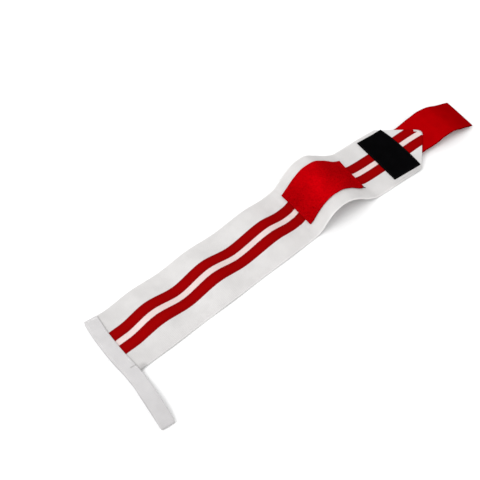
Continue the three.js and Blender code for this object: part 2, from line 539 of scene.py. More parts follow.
stripes, stripes_in, stripes_out = shader_group(
    "stripe_pair", {"Across": 0.0}, ["Dyed", "Between", "Core"], on_cloth=False
)
off_middle = sums("SUBTRACT", stripes_in["Across"], STRIPE_CENTRE)
from_middle = sums("ABSOLUTE", off_middle)
past_inner = between(from_middle, STRIPE_INNER - STRIPE_SOFT, STRIPE_INNER + STRIPE_SOFT)
past_outer = between(from_middle, STRIPE_OUTER - STRIPE_SOFT, STRIPE_OUTER + STRIPE_SOFT)
feed(stripes_out["Dyed"], sums("SUBTRACT", past_inner, past_outer))
feed(stripes_out["Between"], sums("SUBTRACT", 1.0, past_inner))
off_core = sums("ABSOLUTE", sums("SUBTRACT", from_middle, STRIPE_CORE))
feed(stripes_out["Core"], between(off_core, *CORE_FADE, 1.0, 0.0))
tell(stripes)

# %% Darker rims
rim_inputs = {"Long": 0.09, "Half": 0.02, "Rim": 0.0014, "Darkest": 0.6}
rim_group, rim_in, rim_out = shader_group("dark_rim", rim_inputs, ["Tone"])
from_start, from_line = length_and_width(rim_in["Cloth"])
to_end = sums("SUBTRACT", rim_in["Long"], from_start)
to_side = sums("SUBTRACT", rim_in["Half"], sums("ABSOLUTE", from_line))
to_edge = sums("MINIMUM", sums("MINIMUM", from_start, to_end), to_side)
rim_tone = between(to_edge, 0.0, rim_in["Rim"], rim_in["Darkest"], 1.0)
feed(rim_out["Tone"], rim_tone)
tell(rim_group)

# %% [markdown]
# ## Finishes
#
# Cloth has hardly any gloss: its fibres scatter light, so specular is near zero, and a faint sheen lifts
# the edges of plush. The white elastic is a pale warm grey, so that it reads against a white table. Reds
# have almost no green or blue in them. Woven cloths take their relief from `woven_ribs` through a Bump
# node, and plush takes it from a fine noise. `mottle` gives each a slow change of tone. On top come a grey
# handled end, darker rims, and painted light and shade: painted shade in the hollows of the weave, in the
# hem's corner, beside the label, towards the loop's fold and at a corner of the patch, a painted highlight
# on the band's edges, and painted light and shade over the arch of the patch and along the tab.

# %% Finish helpers
def by_uv(tree):
    """Place on the cloth that the mesh keeps as UV."""
    return add_node(tree, "ShaderNodeUVMap", uv_map="cloth").outputs["UV"]


def use_group(group, **values):
    node = add_node(tree_of(*values.values()), "ShaderNodeGroup", by_title(values), node_tree=group)
    return node.outputs


def rim_tone_of(cloth, corners, darkest):
    """Tone of a sewn piece, darker along its edges."""
    long, half = flat_size(corners)
    return use_group(rim_group, cloth=cloth, long=long * MM, half=half * MM, darkest=darkest)["Tone"]


def tone_round(cloth, spot, fade):
    """A tone that changes with the distance from one spot of the cloth."""
    away = add_node(tree_of(cloth), "ShaderNodeVectorMath", {0: cloth, 1: spot}, operation="DISTANCE")
    return between(away.outputs["Value"], *fade)


def tinted(colour, tone):
    """A colour, made lighter or darker by a tone."""
    terms = {0: colour if isinstance(colour, bpy.types.NodeSocket) else colour[:3], "Scale": tone}
    return add_node(tree_of(tone), "ShaderNodeVectorMath", terms, operation="SCALE").outputs[0]


def mixed(factor, first, second):
    """One colour over another. A Mix node keeps its colour sockets at 6, 7 and, going out, 2."""
    terms = {0: factor, 6: first, 7: second}
    return add_node(tree_of(factor), "ShaderNodeMix", terms, data_type="RGBA").outputs[2]


def relief(shader, height, depth, strength):
    """Raise and sink the surface by a height, through a Bump node."""
    terms = {"Strength": strength, "Distance": depth, "Height": height}
    feed(shader.inputs["Normal"], add_node(tree_of(height), "ShaderNodeBump", terms).outputs["Normal"])


# %% Elastic band finish
ELASTIC_WHITE = (0.585, 0.573, 0.567, 1.0)
GAP_WHITE = (0.655, 0.54, 0.522, 1.0)
STRIPE_RED = (0.255, 0.001, 0.0013, 1.0)
STRIPE_EDGE_RED = (0.215, 0.001, 0.0015, 1.0)
RAGGED_SCALE = 900.0  # dye follows the threads, so the edge of a stripe is ragged
RAGGED_WIDTH = 0.0008
# fades: from here, to there, value before and value after
HANDLED_END = (0.0, 0.08, 0.92, 1.0)  # the loop end is handled most, so it is the greyest
# painted highlight along both edges of the band, whose round sides turn away from the lamp
EDGE_HIGHLIGHT = (0.0345, 0.0366, 1.0, 1.14)
SIDE_SLOPE_ALONG = (0.345, 0.375, 0.0, 1.0)  # painted shade on the near strip beside the label, where the band slopes away from the lamp
SIDE_SLOPE_ACROSS = (-0.0365, -0.0305, 1.0, 0.0)
SIDE_SLOPE_SHADE = (0.0, 1.0, 1.0, 0.79)
HEM_CORNER = (0.0, -0.0363, 0.0)
HEM_CORNER_SHADE = (0.0012, 0.0065, 0.76, 1.0)  # painted shade in the corner where the loop leaves the band and the band's edge dips
BAND_HOLLOW_SHADE = (0.0, 1.0, 0.9, 1.04)  # painted shade in the hollows of the weave, lighter on its threads


def striped_elastic():
    """White elastic with two dyed stripes: greyer where it is handled, with a painted highlight along its
    edges and painted shade beside the label, in the hem's corner and in the hollows of the weave.
    """
    material, tree, shader = new_finish("striped_elastic", roughness=0.9)
    cloth = by_uv(tree)
    length, width = length_and_width(cloth)
    weave = use_group(ribs, cloth=cloth, rib_pitch=0.0012, weft_pitch=0.0010, weft_depth=0.45)["Height"]
    wear = use_group(mottle, cloth=cloth, patch_size=0.016, contrast=0.035)["Tone"]
    ragged = sums("SUBTRACT", noise(cloth, RAGGED_SCALE), 0.5)
    dye = use_group(stripes, across=sums("ADD", width, product(ragged, RAGGED_WIDTH)))
    handled = between(length, *HANDLED_END)
    # painted highlight along the band's edges
    edge_highlight = between(sums("ABSOLUTE", width), *EDGE_HIGHLIGHT)
    # painted shade on the near strip beside the label
    side_slope_mask = product(between(length, *SIDE_SLOPE_ALONG), between(width, *SIDE_SLOPE_ACROSS))
    slope_shading = between(side_slope_mask, *SIDE_SLOPE_SHADE)
    # painted shade in the hem's corner
    hem_corner_shade = tone_round(cloth, HEM_CORNER, HEM_CORNER_SHADE)
    worn_and_painted_white = tinted(ELASTIC_WHITE, product(handled, edge_highlight, slope_shading, hem_corner_shade))
    pale = mixed(dye["Between"], worn_and_painted_white, GAP_WHITE)
    red = mixed(dye["Core"], STRIPE_EDGE_RED, STRIPE_RED)
    # slow mottling, and painted shade in the hollows of the weave
    mottle_and_hollow_shade = product(wear, between(weave, *BAND_HOLLOW_SHADE))
    colour = tinted(mixed(dye["Dyed"], pale, red), mottle_and_hollow_shade)
    feed(shader.inputs["Base Color"], colour)
    relief(shader, weave, depth=0.0004, strength=0.6)
    return material


band_finish = striped_elastic()
print(band_finish.name, "has", len(band_finish.node_tree.nodes), "nodes")

# %% Tape, label and hook tape finishes
TAPE_WHITE = (0.52, 0.509, 0.512, 1.0)
LABEL_BLACK = (0.0018, 0.0017, 0.0019, 1.0)
HOOK_RED = (0.315, 0.0, 0.001, 1.0)
LOOP_END_SHADE = (0.08, 0.13, 1.0, 0.92)  # painted shade on the tape over this length, where the loop slopes down to its fold
TAB_SLOPE_SHADING = (0.045, 0.095, 1.07, 0.78)  # painted light on the tab's rising part, and painted shade over this length down towards its free end
# painted shade in the hollows of the weave, lighter on its threads
PLAIN_HOLLOW_SHADE = (0.0, 1.0, 0.88, 1.04)
LABEL_RIM = 0.8
TAB_RIM = 0.42


def plain_weave(name, colour, shade, ribbed, wefted, depth, roughness, contrast):
    """A woven cloth of one colour. shade(cloth) gives a tone on top: painted shade on the tape, painted light
    and shade and a darker rim on the tab, a darker rim on the label.
    """
    material, tree, shader = new_finish(name, roughness)
    cloth = by_uv(tree)
    weave = use_group(ribs, cloth=cloth, rib_pitch=ribbed, weft_pitch=wefted, weft_depth=0.5)["Height"]
    wear = use_group(mottle, cloth=cloth, patch_size=0.011, contrast=contrast)["Tone"]
    tone = product(wear, shade(cloth), between(weave, *PLAIN_HOLLOW_SHADE))
    feed(shader.inputs["Base Color"], tinted(colour, tone))
    relief(shader, weave, depth, strength=0.6)
    return material


def tape_shade(cloth):
    # painted shade where the loop slopes down to its fold
    return between(length_and_width(cloth)[0], *LOOP_END_SHADE)


def label_shade(cloth):
    return rim_tone_of(cloth, LABEL, LABEL_RIM)


def tab_shade(cloth):
    # painted light on the tab's rising part, painted shade on its falling part
    slope_shading = between(length_and_width(cloth)[0], *TAB_SLOPE_SHADING)
    return product(slope_shading, rim_tone_of(cloth, TAB, TAB_RIM))


# the five numbers are rib pitch, weft pitch, depth of the relief, roughness and contrast of the mottling
tape_finish = plain_weave("elastic_tape", TAPE_WHITE, tape_shade, 0.0010, 0.0008, 0.0003, 0.9, 0.03)
label_finish = plain_weave("satin_label", LABEL_BLACK, label_shade, 0.00045, 0.0009, 0.0001, 0.7, 0.15)
hook_tape_finish = plain_weave("hook_tape", HOOK_RED, tab_shade, 0.0005, 0.0005, 0.0001, 0.75, 0.05)
print("woven finishes:", tape_finish.name, label_finish.name, hook_tape_finish.name)

# %% Plush finish
PLUSH_RED = (0.495, 0.0, 0.0024, 1.0)
SHEEN = 0.1
SHEEN_ROUGHNESS = 0.4
SHEEN_RED = (1.0, 0.03, 0.03, 1.0)
PLUSH_RIM = 0.7
PLUSH_RISE_SHADE = (0.0, 0.04, 0.71, 1.0)  # painted shade on the rising slope of the arch, fading out over this length towards the crest
PLUSH_FALL_SHADE = (0.036, 0.058, 1.0, 0.82)  # and painted shade over this length, on the slope past the crest
PATCH_CORNER_SHADE = (0.0005, 0.0055, 0.2, 1.0)  # painted shade at the near corner of the tab end, which stands up a little off the band
FLUFF_SCALE = 1400.0
FLUFF_TONES = (0.85, 1.1)


def plush(name, cloth_of):
    """Brushed pile, for the patch and for the loops on it. cloth_of(tree) gives the place on the cloth."""
    material, tree, shader = new_finish(name, roughness=0.95)
    shader.inputs["Sheen Weight"].default_value = SHEEN
    shader.inputs["Sheen Roughness"].default_value = SHEEN_ROUGHNESS
    shader.inputs["Sheen Tint"].default_value = SHEEN_RED
    cloth = cloth_of(tree)
    length = length_and_width(cloth)[0]
    nap = use_group(mottle, cloth=cloth, patch_size=0.02, contrast=0.09)["Tone"]
    # painted light and shade over the arch, brightest at the crest
    arch_shading = product(between(length, *PLUSH_RISE_SHADE), between(length, *PLUSH_FALL_SHADE))
    rim = rim_tone_of(cloth, PATCH, PLUSH_RIM)
    patch_long, patch_half = flat_size(PATCH)
    # painted shade at the patch's near corner
    patch_corner_shade = tone_round(cloth, (patch_long * MM, -patch_half * MM, 0.0), PATCH_CORNER_SHADE)
    fluff = noise(cloth, FLUFF_SCALE)
    fluff_tone = between(fluff, *NOISE_RANGE, *FLUFF_TONES)
    tone = product(arch_shading, rim, nap, patch_corner_shade, fluff_tone)
    feed(shader.inputs["Base Color"], tinted(PLUSH_RED, tone))
    relief(shader, fluff, depth=0.0004, strength=0.5)
    return material


def by_spot(tree):
    """Place on the cloth that each loop of pile was given when it was set."""
    return add_node(tree, "ShaderNodeAttribute", attribute_name="spot").outputs["Vector"]


plush_finish = plush("plush_cloth", by_uv)
pile_finish = plush("plush_pile", by_spot)
print("plush finishes:", plush_finish.name, pile_finish.name)


# %% Thread finishes
def thread_finish(name, colour):
    """Twisted thread: one colour, with a slow change of tone from stitch to stitch."""
    material, tree, shader = new_finish(name, roughness=0.7, specular=0.1)
    place = add_node(tree, "ShaderNodeTexCoord").outputs["Object"]
    tone = use_group(mottle, cloth=place, patch_size=0.004, contrast=0.12)["Tone"]
    feed(shader.inputs["Base Color"], tinted(colour, tone))
    return material


white_thread = thread_finish("white_thread", (0.62, 0.61, 0.61))
red_thread = thread_finish("red_thread", (0.36, 0.0, 0.003))
grey_thread = thread_finish("grey_thread", (0.4, 0.39, 0.385))
dark_thread = thread_finish("dark_thread", (0.035, 0.003, 0.002))
black_thread = thread_finish("black_thread", (0.003, 0.003, 0.0035))
hook_plastic = thread_finish("hook_plastic", (0.26, 0.0, 0.002))
print("finishes:", len(bpy.data.materials))

# %% [markdown]
# ## The elastic band
#
# The band is 3 inch elastic. Its sides are straight, and the tab end is cut to a point of about a right
# angle with a round tip. The near cut is a little blunter than the far one, so the half width is asked
# for by side. It is the least of three: the table's own, the cut on that side, and the small circle of
# the tip.

# %% Band
BAND_START = -13.5
BAND_STEP = 1.1
BAND_COLUMNS = 40  # steps over its width
POINT_APEX = 406.5  # where the two cuts would meet
NEAR_SLANT = 0.9  # length of the near cut for each millimetre across, where the far cut has 1
TIP_ROUND = 4.0
TIP_CENTRE = POINT_APEX - TIP_ROUND * math.sqrt(2)
TIP_END = TIP_CENTRE + TIP_ROUND
TIP_HALF = TIP_ROUND / math.sqrt(2)  # half width where the cuts run into the round tip


def band_half(along, side):
    """Half width of the band on its near side, where side is negative, or on its far side."""
    cut = TIP_HALF + (TIP_CENTRE + TIP_HALF - along) / np.where(side < 0, NEAR_SLANT, 1.0)
    circle = np.sqrt(np.maximum(TIP_ROUND**2 - np.maximum(along - TIP_CENTRE, 0) ** 2, 0))
    return np.where(along > TIP_CENTRE + TIP_HALF, circle, np.minimum(half_at(along), cut))


def lay_band(along, across, rise):
    return on_wrap(along, across, rise * BAND_THICK)


band = cloth_shell(
    "band", BAND_START, TIP_END, BAND_STEP, band_half, BAND_THICK, BAND_COLUMNS, lay_band, reach_at
)
band.data.materials.append(band_finish)

# %% [markdown]
# ## The thumb loop
#
# One elastic tape makes the hem and the loop: it is sewn over the band's end, runs out past the near
# edge, folds, and comes back underneath. Its path is a third table in the upright plane, and a fourth
# gives its gentle curve in plan. The tape keeps its width level, and its thickness stands square to
# the path.

# %% Path of the tape
TAPE_TOP = SEWN + BAND_THICK + SEAM_GAP + TAPE_THICK / 2
TAPE_FLOOR = TAPE_THICK / 2
# across, along
TAPE_LINE = [
    (-97, -18.5),
    (-81, -16.2),
    (-60, -13.3),
    (-44, -11.3),
    (-32, -10.9),
    (-16, -11.3),
    (10, -10.2),
    (36, -6.9),
]
# across, height
LOOP = [
    (35.6, TAPE_TOP),
    (-34, TAPE_TOP),
    (-42, TAPE_TOP),
    (-50, 5.1),
    (-60, 6.7),
    (-70, 7.4),  # the loop stands open here
    (-80, 7),
    (-88, 5.4),
    (-93.5, 3.7),
    (-95.9, 2.3),  # fold at the loop's end
    (-94, 1),
    (-90, TAPE_FLOOR),
    (-42, TAPE_FLOOR),
    (35.6, TAPE_FLOOR),
]
loop_steps = np.linalg.norm(np.diff(np.array(LOOP), axis=0), axis=1)
loop_lengths = np.concatenate([[0], np.cumsum(loop_steps)])
LOOP_AT = [(length, *row) for length, row in zip(loop_lengths, LOOP)]
TAPE_LENGTH = LOOP_AT[-1][0]
tape_along = curve_through(TAPE_LINE, 1)
loop_across = curve_through(LOOP_AT, 1)
loop_height = curve_through(LOOP_AT, 2)
print("tape length:", round(TAPE_LENGTH, 1), "mm")

# %% Tape
TAPE_HALF = 7.0
TAPE_STEP = 0.9
TAPE_COLUMNS = 12


def tape_spot(length):
    """Points of the tape's middle line."""
    across = loop_across(length)
    return np.stack([tape_along(across), across, loop_height(length)], -1)


def tape_frame(length):
    """Points of the tape's middle line, the level direction over its width, and its outward direction."""
    across = loop_across(length)
    lean = (tape_along(across + PROBE) - tape_along(across - PROBE)) / (2 * PROBE)
    level = np.stack([np.ones_like(lean), -lean, np.zeros_like(lean)], -1)
    level /= np.linalg.norm(level, axis=-1, keepdims=True)
    ahead = tape_spot(np.minimum(length + PROBE, TAPE_LENGTH)) - tape_spot(np.maximum(length - PROBE, 0))
    out = np.cross(ahead, level)
    return tape_spot(length), level, out / np.linalg.norm(out, axis=-1, keepdims=True)


def lay_tape(length, width, rise):
    spot, level, out = tape_frame(length)
    lift = (rise - 0.5) * TAPE_THICK
    return (spot + level * width[..., None] + out * lift[..., None] + ROOT) * MM


loop = cloth_shell(
    "thumb_tape", 0, TAPE_LENGTH, TAPE_STEP, even(TAPE_HALF), TAPE_THICK, TAPE_COLUMNS, lay_tape
)
loop.data.materials.append(tape_finish)

# %% [markdown]
# ## Patch, label and tab
#
# Three straight-cut pieces follow the band. The plush patch is thick and soft, so its top swells between
# the sewn edges, and the two corners at its tab end stand up a little. The label is thin and flat. The
# hook tab is sewn under the point and goes on past it.

# %% How the sewn pieces lie
CLOSE_GAP = 0.04  # cloths that are sewn together all but touch
PATCH_THICK, LABEL_THICK, TAB_THICK = 2.0, 0.8, 1.5
PATCH_TOP = BAND_THICK + SEAM_GAP + PATCH_THICK
LABEL_TOP = BAND_THICK + SEAM_GAP + LABEL_THICK
TAB_TOP = -SEAM_GAP
ON_BAND = BAND_THICK + CLOSE_GAP
SEAM_INSET = 2.3
SEAM_DIP = 0.35
DIP_WIDTH = 0.9
CORNER_LIFT = 0.5
CORNER_REACH = 10.0


def laid_out(corners, length, width):
    """Station and place across of a spot on a piece's flat cloth."""
    long, half = flat_size(corners)
    near_start, near_end, far_start, far_end = (np.array(corner, float) for corner in corners)
    s, w = (length / long)[..., None], (width / half / 2 + 0.5)[..., None]
    spot = (1 - s) * ((1 - w) * near_start + w * far_start) + s * ((1 - w) * near_end + w * far_end)
    return spot[..., 0], spot[..., 1]


def patch_lift(length, width, rise):
    """Lift of the patch: it dips along its seam and stands up at the two corners of its tab end."""
    long, half = flat_size(PATCH)
    inset = np.minimum(np.minimum(length, long - length), half - np.abs(width))
    dip = SEAM_DIP * np.exp(-(((inset - SEAM_INSET) / DIP_WIDTH) ** 2))
    far_from_corner = np.hypot(long - length, half - np.abs(width)) / CORNER_REACH
    corner = CORNER_LIFT * np.maximum(1 - far_from_corner, 0) ** 2
    return ON_BAND + rise * (PATCH_TOP - ON_BAND - dip) + corner


def lay_patch(length, width, rise):
    return on_wrap(*laid_out(PATCH, length, width), patch_lift(length, width, rise))


def lay_label(length, width, rise):
    return on_wrap(*laid_out(LABEL, length, width), ON_BAND + rise * (LABEL_TOP - ON_BAND))


def lay_tab(length, width, rise):
    return on_wrap(*laid_out(TAB, length, width), TAB_TOP - TAB_THICK + rise * TAB_THICK)


# %% Sewn pieces
SEWN_STEP = 0.8


def sewn_piece(name, corners, thick, lay, finish):
    """A four-cornered cloth in its place on the band."""
    long, half = flat_size(corners)
    piece = cloth_shell(name, 0, long, SEWN_STEP, even(half), thick, round(half * 2), lay)
    piece.data.materials.append(finish)
    return piece


patch = sewn_piece("plush_patch", PATCH, PATCH_THICK, lay_patch, plush_finish)
label = sewn_piece("label", LABEL, LABEL_THICK, lay_label, label_finish)
tab = sewn_piece("tab", TAB, TAB_THICK, lay_tab, hook_tape_finish)

# %% [markdown]
# ## Stitches that follow a seam
#
# Each seam is a line of points that also know which way is up. A Geometry Nodes tree resamples the line
# by the length of one stitch and sets a short bowed thread on every point, turned to the seam. A
# positive "Zigzag" swings every other thread the other way, which makes the bar tacks. Instances are
# realized, because only real meshes are exported.

# %% Tree helpers
def growth_tree(name, inputs):
    """An empty Geometry Nodes tree with titled inputs, and its two ends."""
    tree = bpy.data.node_groups.new(name, "GeometryNodeTree")
    for side in ("INPUT", "OUTPUT"):
        tree.interface.new_socket("Geometry", in_out=side, socket_type="NodeSocketGeometry")
    number_inputs(tree, inputs)
    tree.interface.new_socket("Finish", in_out="INPUT", socket_type="NodeSocketMaterial")
    return with_ends(tree)


def shares_of(length):
    """A function that gives shares of a length."""
    return lambda share: product(length, share)


def spot_node(tree, x, y, z):
    return add_node(tree, "ShaderNodeCombineXYZ", {0: x, 1: y, 2: z}).outputs[0]


def bent_thread(tree, start, middle, end, radius, steps, sides):
    """A closed tube along a bow between three spots, as the shape that is repeated."""
    terms = {"Resolution": steps}
    for title, spot in (("Start", start), ("Middle", middle), ("End", end)):
        terms[title] = spot_node(tree, *spot)
    bow = add_node(tree, "GeometryNodeCurveQuadraticBezier", terms)
    ring = add_node(tree, "GeometryNodeCurvePrimitiveCircle", {"Resolution": sides, "Radius": radius})
    curves = {"Curve": bow.outputs["Curve"], "Profile Curve": ring.outputs["Curve"]}
    return add_node(tree, "GeometryNodeCurveToMesh", {**curves, "Fill Caps": True}).outputs["Mesh"]


def named_vector(tree, name):
    """A vector that the source mesh keeps for each of its points."""
    node = add_node(tree, "GeometryNodeInputNamedAttribute", {"Name": name}, data_type="FLOAT_VECTOR")
    return node.outputs["Attribute"]


def turned_to(up, ahead):
    """The turn that points a shape's Z up and its X ahead."""
    axes = {"Primary Axis": up, "Secondary Axis": ahead}
    node = add_node(tree_of(up), "FunctionNodeAxesToRotation", axes, primary_axis="Z", secondary_axis="X")
    return node.outputs["Rotation"]


def turned_more(turn, angle):
    """A turn, and then another one round the shape's own Z."""
    tree = tree_of(turn)
    yaw = add_node(tree, "FunctionNodeEulerToRotation", {0: spot_node(tree, 0.0, 0.0, angle)})
    turns = {"Rotation": turn, "Rotate By": yaw.outputs["Rotation"]}
    return add_node(tree, "FunctionNodeRotateRotation", turns, rotation_space="LOCAL").outputs["Rotation"]


def set_on(tree_in, tree_out, points, shape, rotation, size=(1.0, 1.0, 1.0)):
    """Put the shape on every point, make it real mesh and give it the finish."""
    tree = tree_of(shape)
    terms = {"Points": points, "Instance": shape, "Rotation": rotation, "Scale": size}
    copies = add_node(tree, "GeometryNodeInstanceOnPoints", terms).outputs["Instances"]
    real = add_node(tree, "GeometryNodeRealizeInstances", {"Geometry": copies}).outputs["Geometry"]
    smooth = add_node(tree, "GeometryNodeSetShadeSmooth", {"Geometry": real}).outputs["Geometry"]
    terms = {"Geometry": smooth, "Material": tree_in["Finish"]}
    finished = add_node(tree, "GeometryNodeSetMaterial", terms).outputs["Geometry"]
    feed(tree_out["Geometry"], finished)


# %% Stitch tree
STITCH_SUNK = -1.2  # heights of a stitch's two ends and its middle, for each thread radius
STITCH_BOWED = 2.2

seam_inputs = {"Pitch": 0.0025, "Stitch length": 0.0021, "Thread radius": 0.0002, "Zigzag": 0.0}
seam_tree, seam_in, seam_out = growth_tree("seam_stitches", seam_inputs)
seam_curve = add_node(seam_tree, "GeometryNodeMeshToCurve", {"Mesh": seam_in["Geometry"]})
seam_terms = {"Curve": seam_curve.outputs["Curve"], "Length": seam_in["Pitch"]}
seam_points = add_node(seam_tree, "GeometryNodeResampleCurve", seam_terms, mode="LENGTH")
stitch_share = shares_of(seam_in["Stitch length"])
thread_share = shares_of(seam_in["Thread radius"])
stitch = bent_thread(
    seam_tree,
    (stitch_share(-0.5), 0.0, thread_share(STITCH_SUNK)),
    (0.0, 0.0, thread_share(STITCH_BOWED)),
    (stitch_share(0.5), 0.0, thread_share(STITCH_SUNK)),
    seam_in["Thread radius"],
    steps=4,
    sides=6,
)
seam_ahead = add_node(seam_tree, "GeometryNodeInputTangent").outputs[0]
seam_turn = turned_to(named_vector(seam_tree, "up"), seam_ahead)
odd = sums("MODULO", add_node(seam_tree, "GeometryNodeInputIndex").outputs[0], 2.0)
swing_side = sums("MULTIPLY_ADD", odd, 2.0, -1.0)
swing = product(swing_side, seam_in["Zigzag"])
stitch_turn = turned_more(seam_turn, swing)
set_on(seam_in, seam_out, seam_points.outputs["Curve"], stitch, stitch_turn)
tell(seam_tree)


# %% Growing on a line or a field
def keep_vectors(mesh, name, vectors):
    """Give each point of a mesh a vector under a name."""
    kept = mesh.attributes.new(name, "FLOAT_VECTOR", "POINT").data
    kept.foreach_set("vector", vectors.astype(np.float32).ravel())


def line_mesh(name, runs):
    """A mesh of open lines. Each run is its points and, for each point, which way is up."""
    mesh = bpy.data.meshes.new(name)
    edges = []
    first = 0
    for points, _ in runs:
        edges += [(first + i, first + i + 1) for i in range(len(points) - 1)]
        first += len(points)
    mesh.from_pydata(np.concatenate([points for points, _ in runs]).tolist(), edges, [])
    keep_vectors(mesh, "up", np.concatenate([ups for _, ups in runs]))
    return mesh


def grown(name, mesh, tree, **values):
    """The plain mesh that a tree grows on a source mesh, as a new piece."""
    host = put(name + "_source", mesh)
    modifier = host.modifiers.new("grow", "NODES")
    modifier.node_group = tree
    wanted = by_title(values)
    for socket in tree.interface.items_tree:
        if socket.in_out == "INPUT" and socket.name in wanted:
            modifier[socket.identifier] = wanted[socket.name]
    bpy.context.view_layer.update()
    evaluated = host.evaluated_get(bpy.context.evaluated_depsgraph_get())
    result = bpy.data.meshes.new_from_object(evaluated)
    bpy.data.objects.remove(host)
    result.name = name
    print(name, "has", len(result.polygons), "faces")
    return put(name, result)


# %% [markdown]
# ## Seams
#
# White thread runs along both edges of the hem, with a bar tack at its far end and a short worn one where
# the loop leaves the band. More white thread is whipped over the tip of the point. Red thread holds the
# patch and the tab, black thread the label. A dark thread end sticks out of the patch's near corner. The
# second thread of the sewing machine lies underneath, so the seam of the patch shows on the back of the
# band, and the seam of the tab on its hook side.

# %% Seam lines
SEAM_STEP = 1.0
ON_TOP, UNDER = 1, -1
LABEL_INSET = 1.4
POINT_INSET = 2.4
POINT_MARGIN = 1.5


def seam_on(corners, path, lift_of, side=ON_TOP):
    """A seam along straight stretches of a piece's flat cloth, at the lift of the cloth's surface."""
    spots = []
    for start, end in zip(path, path[1:]):
        count = max(2, round(math.dist(start, end) / SEAM_STEP))
        spots += [np.array(start) + (np.array(end) - np.array(start)) * i / count for i in range(count)]
    length, width = np.array([*spots, path[-1]], float).T
    along, across = laid_out(corners, length, width)
    return on_wrap(along, across, lift_of(length, width)), side * wrap_up(along, across)


def frame_path(corners, inset):
    """A seam that runs round a piece, inside its edges."""
    long, half = flat_size(corners)
    start, end, side = inset, long - inset, half - inset
    return [(start, -side), (end, -side), (end, side), (start, side), (start, -side)]


def point_path():
    """The seam that holds the tab under the band's point, on the tab's flat cloth."""
    long, half = flat_size(TAB)
    first, last = TAB[0][0], TAB[1][0]
    apex = (POINT_APEX - POINT_INSET * math.sqrt(2) - first) / (last - first) * long
    reach = half - POINT_MARGIN
    return [(apex - reach, -reach), (apex, 0.0), (apex - reach, reach)]


def tape_seam(start, end, count=80):
    """A straight seam on the tape's outer face, between two places along and across it."""
    length, width = np.linspace(start, end, count).T
    return lay_tape(length, width, np.ones(count)), tape_frame(length)[2]


def band_line(spots, count=40):
    """A line on top of the band through spots that are given as station along and place across."""
    along, across = np.array(spots).T
    rows = np.arange(len(spots))
    share = np.linspace(0, len(spots) - 1, count)
    at_along, at_across = np.interp(share, rows, along), np.interp(share, rows, across)
    return on_wrap(at_along, at_across, BAND_THICK), wrap_up(at_along, at_across)


def at_lift(lift):
    return lambda length, width: 0 * length + lift


def sewn(name, runs, finish, **values):
    return grown(name, line_mesh(name + "_lines", runs), seam_tree, finish=finish, **values)


# %% Sew the hem
HEM_START, HEM_END = 1.2, 69.0
HEM_ROW = TAPE_HALF - 1.7
TACK_AT = 2.4
TACK_HALF = TAPE_HALF - 1.2
LOOP_TACK = [(67.1, 6.5), (66.5, 1.4)]  # both ends, as length along the tape and place across it
TACK_PITCH = 0.0005

hem_runs = [tape_seam((HEM_START, row), (HEM_END, row)) for row in (-HEM_ROW, HEM_ROW)]
hem_seams = sewn("hem_stitches", hem_runs, white_thread)
end_tack = [tape_seam((TACK_AT, -TACK_HALF), (TACK_AT, TACK_HALF), count=20)]
tack_seams = sewn("bar_tacks", end_tack, white_thread, pitch=TACK_PITCH, stitch_length=0.0026, zigzag=1.3)
worn_tack = [tape_seam(*LOOP_TACK, count=20)]
loop_tack = sewn("loop_tack", worn_tack, grey_thread, pitch=TACK_PITCH, stitch_length=0.002, zigzag=1.3)

# %% Whip the tip
TIP_WHIPPING = [(399.6, 5.4), (401.3, 3.7), (402.8, 1.8), (403.6, -0.2), (402.9, -2.3), (401.6, -3.7)]

whipping = {"pitch": TACK_PITCH, "stitch_length": 0.0032, "thread_radius": 0.00025, "zigzag": 1.35}
tip_seam = sewn("tip_stitches", [band_line(TIP_WHIPPING)], white_thread, **whipping)

# %% Sew patch, label and tab
THREAD_TAIL = [(300.6, -19.6), (302.4, -20.3), (304.2, -20.9)]

patch_path = frame_path(PATCH, SEAM_INSET)
patch_runs = [seam_on(PATCH, patch_path, lambda length, width: patch_lift(length, width, 1.0))]
patch_seam = sewn("patch_stitches", patch_runs, red_thread)
tail_thread = {"pitch": 0.0008, "stitch_length": 0.0014, "thread_radius": 0.0005}
thread_tail = sewn("thread_tail", [band_line(THREAD_TAIL)], dark_thread, **tail_thread)
label_runs = [seam_on(LABEL, frame_path(LABEL, LABEL_INSET), at_lift(LABEL_TOP))]
label_seam = sewn("label_stitches", label_runs, black_thread)
under_runs = [seam_on(PATCH, patch_path, at_lift(0.0), UNDER)]
under_seams = sewn("under_stitches", under_runs, white_thread)
tab_runs = [seam_on(TAB, point_path(), at_lift(TAB_TOP - TAB_THICK), UNDER)]
tab_seam = sewn("tab_stitches", tab_runs, red_thread)

# %% [markdown]
# ## Hooks and pile
#
# The underside of the tab carries rows of tiny stiff hooks, and the patch carries the soft loops that
# they catch. Both are one bent thread repeated: the hooks in straight rows on the points of a grid, the
# loops scattered over the patch with a fixed seed. The margins of the hook tape stay bare, as its woven
# edges do.

# %% Hook tree
hook_tree, hook_in, hook_out = growth_tree("hook_rows", {"Height": 0.0011, "Wire radius": 0.00013})
hook_points = add_node(hook_tree, "GeometryNodeMeshToPoints", {"Mesh": hook_in["Geometry"]})
hook_share = shares_of(hook_in["Height"])
# root, bow and tip of a hook, in shares of its height
hook = bent_thread(
    hook_tree,
    (0.0, 0.0, 0.0),
    (0.0, 0.0, hook_share(1.9)),
    (hook_share(0.75), 0.0, hook_share(0.55)),
    hook_in["Wire radius"],
    steps=5,
    sides=4,
)
hook_turn = turned_to(named_vector(hook_tree, "up"), named_vector(hook_tree, "ahead"))
set_on(hook_in, hook_out, hook_points.outputs["Points"], hook, hook_turn)
tell(hook_tree)

# %% Hooks
HOOK_PITCH = 1.7
HOOK_MARGIN = 3.0
HOOK_ROOM = 1.3  # hooks are left out where the tab lies closer to the table

